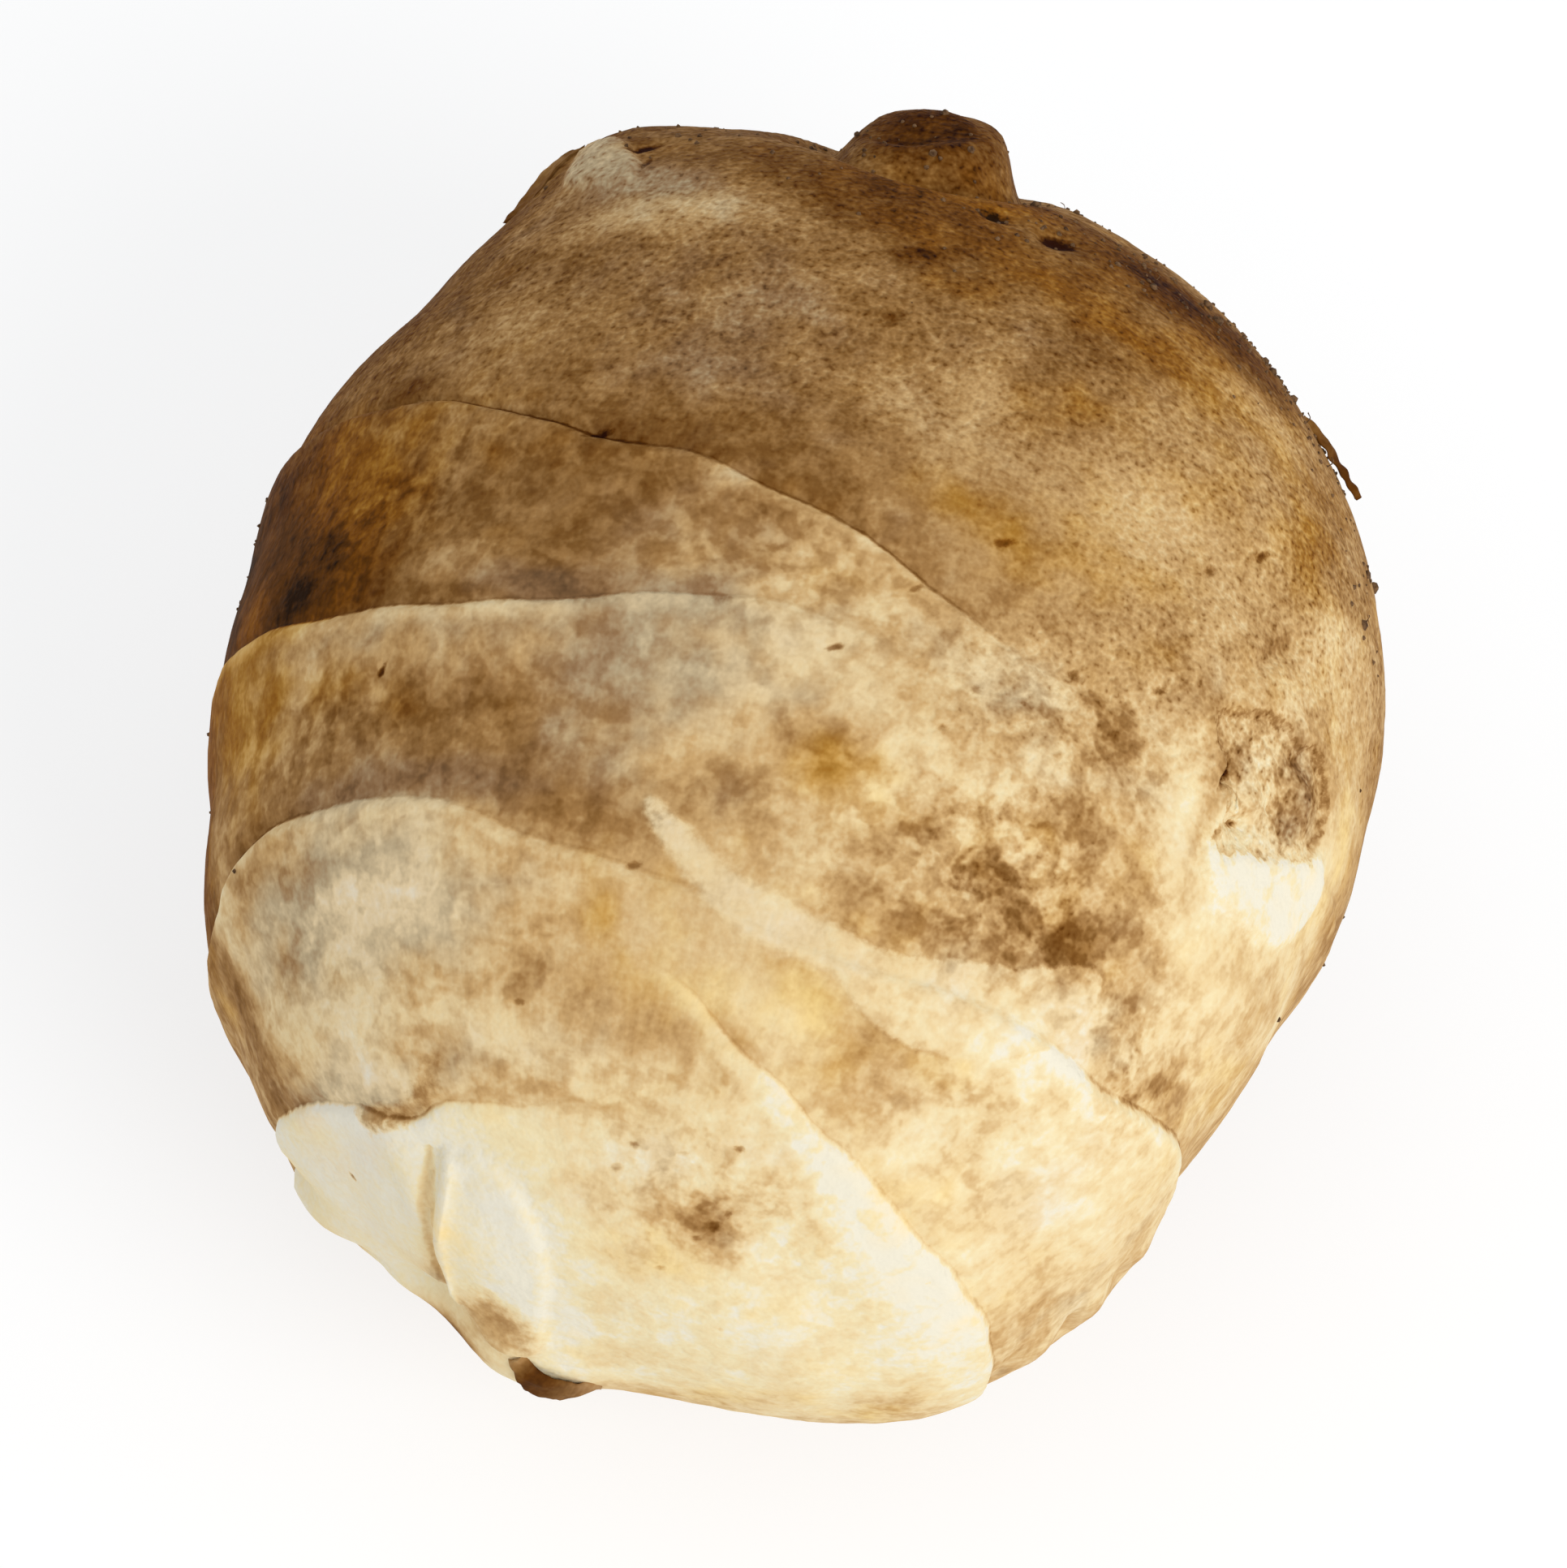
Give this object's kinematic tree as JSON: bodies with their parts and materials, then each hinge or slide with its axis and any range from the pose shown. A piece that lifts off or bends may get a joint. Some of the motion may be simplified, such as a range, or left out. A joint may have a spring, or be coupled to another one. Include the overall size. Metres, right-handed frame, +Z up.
{
  "type": "jerusalem artichoke",
  "caption": "Whole round knobbly tuber with scale-leaf scars round it, a runner stub at one end and a pointed bud at the other, lying on its side.",
  "frame": {"origin": "middle of the bounding box at its foot, on the surface that the tuber lies on", "axes": "+Y along the tuber from the growing tip to the runner stub, +X across it, +Z up"},
  "size_m": [0.0488, 0.0552, 0.0447],
  "materials": {
    "tuber_skin": "thin matt brown cork skin over cream flesh, paler towards the growing tip"
  },
  "bodies": {
    "root": {"tuber": "tuber_skin"}
  },
  "joints": []
}
